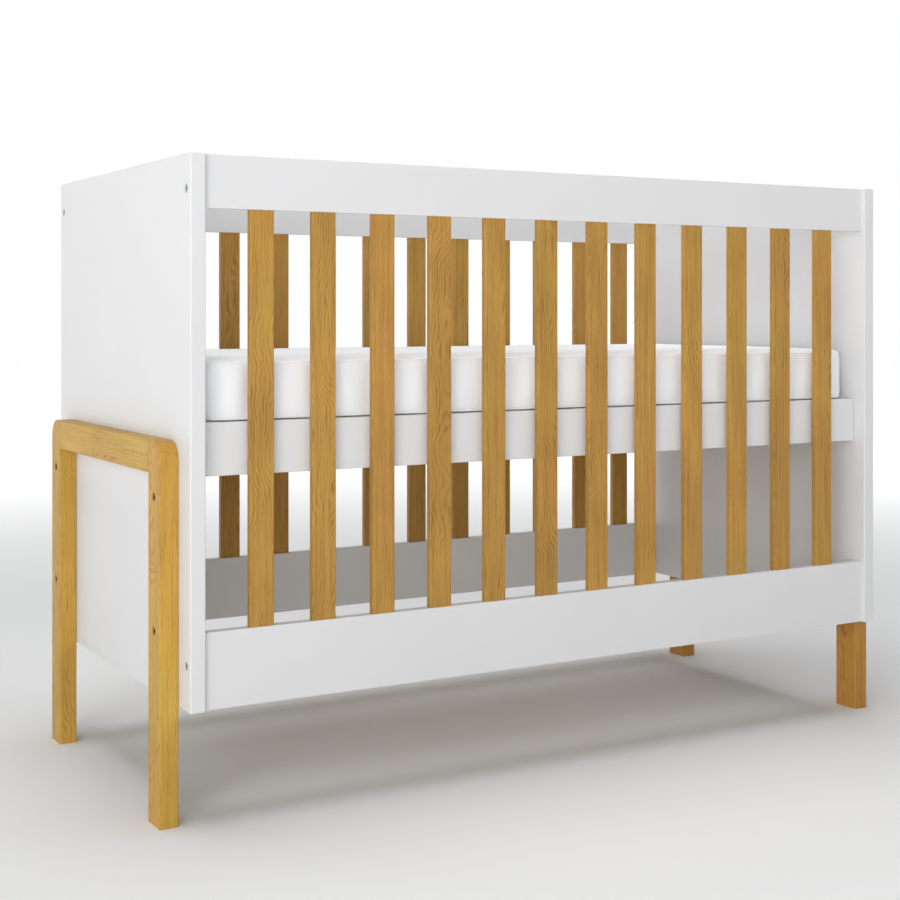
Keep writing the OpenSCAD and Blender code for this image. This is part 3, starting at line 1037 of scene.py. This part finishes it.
    def fold_sides(self, cover: bpy.types.Object, low: np.ndarray, high: np.ndarray) -> None:
        """Lays the slack of the sides in soft upright folds.

        A side's point moves in or out by a sum of bell curves round the cover. Each bell has its
        own place, width, depth and lean, and all of them fade out towards the two seams.

        Args:
            cover: the cover.
            low: lowest corner of the CAD mattress.
            high: its highest corner.
        """
        points = points_of(cover)
        middle = (low + high) / 2
        height = np.clip((points[:, 2] - low[2]) / (high[2] - low[2]), 0, 1)
        reach = np.abs(points[:, :2]).max(axis=0)
        out = np.clip((np.abs(points[:, :2]) - reach + self.corner_r) / self.corner_r, 0, 1)
        out = out * np.sign(points[:, :2])
        size = np.linalg.norm(out, axis=1, keepdims=True) + 1e-9
        corner = np.abs(out).min(axis=1) / (np.abs(out).max(axis=1) + 1e-9)
        on_side = np.clip(size[:, 0] / 0.4 - 1, 0, 1) * (1 - corner)
        normal = out / size
        round_it = np.where(
            np.abs(out[:, 0]) > np.abs(out[:, 1]), points[:, 1] + 5, points[:, 0]
        ) * np.where(out.sum(axis=1) > 0, 1, -1)
        chance = np.random.default_rng(self.seed)
        ends = (round_it.min(), round_it.max())
        spots = np.arange(ends[0], ends[1], self.fold_gap)
        spots = spots + chance.uniform(-0.4, 0.4, spots.size) * self.fold_gap
        widths = chance.uniform(*self.fold_widths, spots.size)
        depths = chance.normal(0.0, 1.0, spots.size) * self.fold_depth
        leans = chance.uniform(-self.most_lean, self.most_lean, spots.size)
        fold = np.zeros(len(points))
        for spot, width, depth, lean in zip(spots, widths, depths, leans):
            off = round_it - spot - lean * (points[:, 2] - middle[2])
            fold += depth * np.exp(-((off / width) ** 2))
        fade = np.sin(np.pi * height) ** 0.6
        points[:, :2] += (fold * fade * on_side)[:, None] * normal
        set_points(cover, points)

    @staticmethod
    def smooth(cover: bpy.types.Object) -> None:
        """Rounds the cover with one step of subdivision, which keeps its first points' order."""
        finer = cover.modifiers.new("subdivision", "SUBSURF")
        finer.levels = finer.render_levels = 1
        bake_modifiers(cover)

    def piping(self, name: str, path: np.ndarray) -> bpy.types.Object:
        """Builds a closed tube along a loop of points.

        Ring t of the tube is path(t) + r (cos a * out(t) + sin a * up), where out is the level
        direction square to the path and up is +Z.

        Args:
            name: name of the piece.
            path: points round the seam, in order.

        Returns:
            The tube.
        """
        sides = self.piping_sides
        ahead = np.roll(path, -1, axis=0) - np.roll(path, 1, axis=0)
        out = np.stack([ahead[:, 1], -ahead[:, 0], np.zeros(len(path))], axis=1)
        out /= np.linalg.norm(out, axis=1, keepdims=True)
        turn = np.arange(sides) * math.tau / sides
        ring = np.cos(turn)[None, :, None] * out[:, None, :]
        ring = ring + np.sin(turn)[None, :, None] * np.array([0.0, 0.0, 1.0])
        points = path[:, None, :] + self.piping_r * ring
        count = len(path)
        t, a = np.indices((count, sides))
        here, there = t * sides, (t + 1) % count * sides
        after = (a + 1) % sides
        quads = np.stack([here + a, there + a, there + after, here + after], axis=-1)
        return new_mesh(name, points.reshape(-1, 3), quads.reshape(-1, 4))


# ---------- the studio ----------


class Lamp(Enum):
    """The studio's soft boxes: place, width, and power in watts."""

    FRONT_LEFT = ((-3.3, -3.7, 1.5), 2.6, 95.0)
    TOP = ((0.0, 0.0, 4.5), 4.0, 142.0)


@dataclass
class Studio:
    """Floor, lights and camera. The camera is level, and its frame is shifted down."""

    eye: tuple[float, float, float] = (-1.4811, -2.4775, 0.7648)
    yaw_deg: float = -29.966
    lens_mm: float = 61.73
    shift_y: float = -0.1524
    floor_size: float = 60.0
    horizon: float = 1.0
    front_band: float = 1.02
    front_right_band: float = 0.2
    left_sky: float = 0.47
    front_span: tuple[float, float] = (-0.3, 0.6)
    behind_span: tuple[float, float] = (-0.1, 0.4)
    height_span: tuple[float, float] = (0.2, 0.42)
    rim_span: tuple[float, float] = (0.08, 0.16)
    aim: tuple[float, float, float] = (0.0, 0.0, 0.5)

    def make(self) -> None:
        """Builds the studio."""
        self.floor()
        self.lights()
        self.camera()

    def floor(self) -> None:
        """Lays a plain pale floor at z = 0."""
        half = self.floor_size / 2
        corners = half * np.array([[-1, -1, 0], [1, -1, 0], [1, 1, 0], [-1, 1, 0]])
        floor = new_mesh("studio_floor", corners, np.array([[0, 1, 2, 3]]), smooth=False)
        StudioPaint("Pale studio floor paint").dress(floor)

    def lights(self) -> None:
        """Hangs the soft boxes, sets the sky, and shows colours as they are."""
        scene = bpy.context.scene
        for lamp in Lamp:
            place, width, power = lamp.value
            light = bpy.data.lights.new(f"soft_box_{lamp.name.lower()}", "AREA")
            light.shape, light.size, light.energy = "SQUARE", width, power
            box = bpy.data.objects.new(light.name, light)
            box.location = place
            toward = Vector(self.aim) - Vector(place)
            box.rotation_euler = toward.to_track_quat("-Z", "Y").to_euler()
            scene.collection.objects.link(box)
        scene.world = self.sky()
        scene.view_settings.view_transform = "Standard"

    def sky(self) -> bpy.types.World:
        """Makes the surroundings: a bright band above the horizon, and a soft glow at the left.

        With (x, y, z) the direction, the band is a smooth step down in z. Behind the crib it is
        even, and in front of it it fades from left to right, except for a narrow rim on the
        horizon. The glow is the square of -x where x is negative.

        Returns:
            The world.
        """
        world = bpy.data.worlds.new("studio_sky")
        world.use_nodes = True
        tree = world.node_tree
        way = add_node(tree, "TexCoord").outputs["Generated"]
        x, y, z = add_node(tree, "SeparateXYZ", {0: way}).outputs
        front = smooth_step(tree, x, self.front_span, (self.front_band, self.front_right_band))
        behind = smooth_step(tree, y, self.behind_span)
        around = add_node(
            tree, "Mix", {0: behind, 2: front, 3: self.horizon}, data_type="FLOAT"
        ).outputs[0]
        low_down = smooth_step(tree, z, self.height_span, (1.0, 0.0))
        band = add_node(tree, "Math", {0: low_down, 1: around}, operation="MULTIPLY").outputs[0]
        rim = smooth_step(tree, z, self.rim_span, (self.horizon, 0.0))
        band = add_node(tree, "Math", {0: band, 1: rim}, operation="MAXIMUM").outputs[0]
        left = add_node(tree, "Math", {0: x, 1: 0.0}, operation="MINIMUM").outputs[0]
        left = add_node(tree, "Math", {0: left, 1: left}, operation="MULTIPLY").outputs[0]
        total = add_node(
            tree, "Math", {0: left, 1: self.left_sky, 2: band}, operation="MULTIPLY_ADD"
        ).outputs[0]
        background = tree.nodes["Background"]
        background.inputs["Color"].default_value = linear("#FFFFFF")
        tree.links.new(total, background.inputs["Strength"])
        return world

    def camera(self) -> None:
        """Places the camera at eye level with the crib, in front of its left end."""
        lens = bpy.data.cameras.new("camera")
        lens.lens, lens.sensor_width = self.lens_mm, 36.0
        lens.shift_y = self.shift_y
        lens.clip_start, lens.clip_end = 0.05, 200.0
        camera = bpy.data.objects.new("camera", lens)
        camera.location = self.eye
        camera.rotation_euler = (math.radians(90), 0, math.radians(self.yaw_deg))
        bpy.context.scene.collection.objects.link(camera)
        bpy.context.scene.camera = camera


def main() -> None:
    """Builds the crib's looks and the studio."""
    logging.basicConfig(level=logging.INFO, format="%(name)s: %(message)s")
    assemblies: list[SubAssembly] = [
        EndPanels(),
        LongSides(),
        LegFrames(),
        Hardware(),
        MattressBase(),
        Mattress(),
    ]
    for assembly in assemblies:
        assembly.make()
        for piece in assembly.pieces:
            log.info("%s: %s", assembly.name, piece.name)
    Studio().make()


if __name__ == "__main__":
    main()
